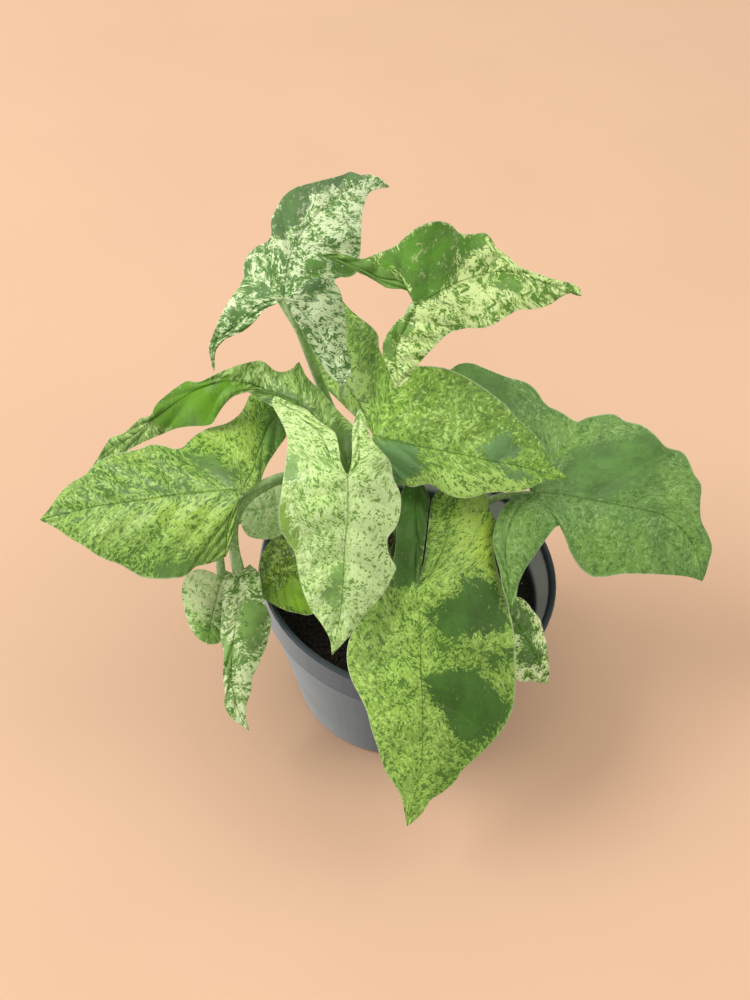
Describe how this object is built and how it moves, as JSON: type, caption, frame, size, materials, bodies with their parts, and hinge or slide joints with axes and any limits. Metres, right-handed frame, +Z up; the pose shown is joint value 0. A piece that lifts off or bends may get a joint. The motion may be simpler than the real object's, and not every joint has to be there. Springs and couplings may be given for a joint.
{
  "type": "potted syngonium",
  "caption": "Potted houseplant with mottled arrow-shaped leaves on thin stalks, rising from short stems in dark soil in a tapered grey pot.",
  "frame": {"origin": "centre of the pot's base, in the plane that the pot stands on", "axes": "+Z up along the pot's axis, -Y towards the front, which is the side the picture was taken from, +X to its right"},
  "size_m": [0.2801, 0.2106, 0.2242],
  "materials": {
    "pot": "satin grey plastic",
    "soil": "rough dark potting mix",
    "stem_left": "smooth green stem",
    "stem_back": "smooth green stem",
    "stem_right": "smooth green stem",
    "stem_front": "smooth green stem",
    "leaf_back_left": "satin mottled leaf",
    "leaf_back_right": "satin mottled leaf",
    "leaf_middle": "satin mottled leaf",
    "leaf_right": "satin mottled leaf",
    "leaf_front_left": "satin mottled leaf",
    "leaf_left": "satin mottled leaf",
    "leaf_left_high": "satin mottled leaf",
    "leaf_hanging": "satin mottled leaf",
    "leaf_hanging_small": "satin mottled leaf",
    "leaf_left_inner": "satin mottled leaf",
    "leaf_low_left": "satin mottled leaf",
    "leaf_front": "satin mottled leaf",
    "leaf_low_right": "satin mottled leaf"
  },
  "bodies": {
    "root": {"pot": "pot", "soil": "soil", "stem_left": "stem_left", "stem_back": "stem_back", "stem_right": "stem_right", "stem_front": "stem_front", "leaf_back_left": "leaf_back_left", "leaf_back_right": "leaf_back_right", "leaf_middle": "leaf_middle", "leaf_right": "leaf_right", "leaf_front_left": "leaf_front_left", "leaf_left": "leaf_left", "leaf_left_high": "leaf_left_high", "leaf_hanging": "leaf_hanging", "leaf_hanging_small": "leaf_hanging_small", "leaf_left_inner": "leaf_left_inner", "leaf_low_left": "leaf_low_left", "leaf_front": "leaf_front", "leaf_low_right": "leaf_low_right"}
  },
  "joints": []
}
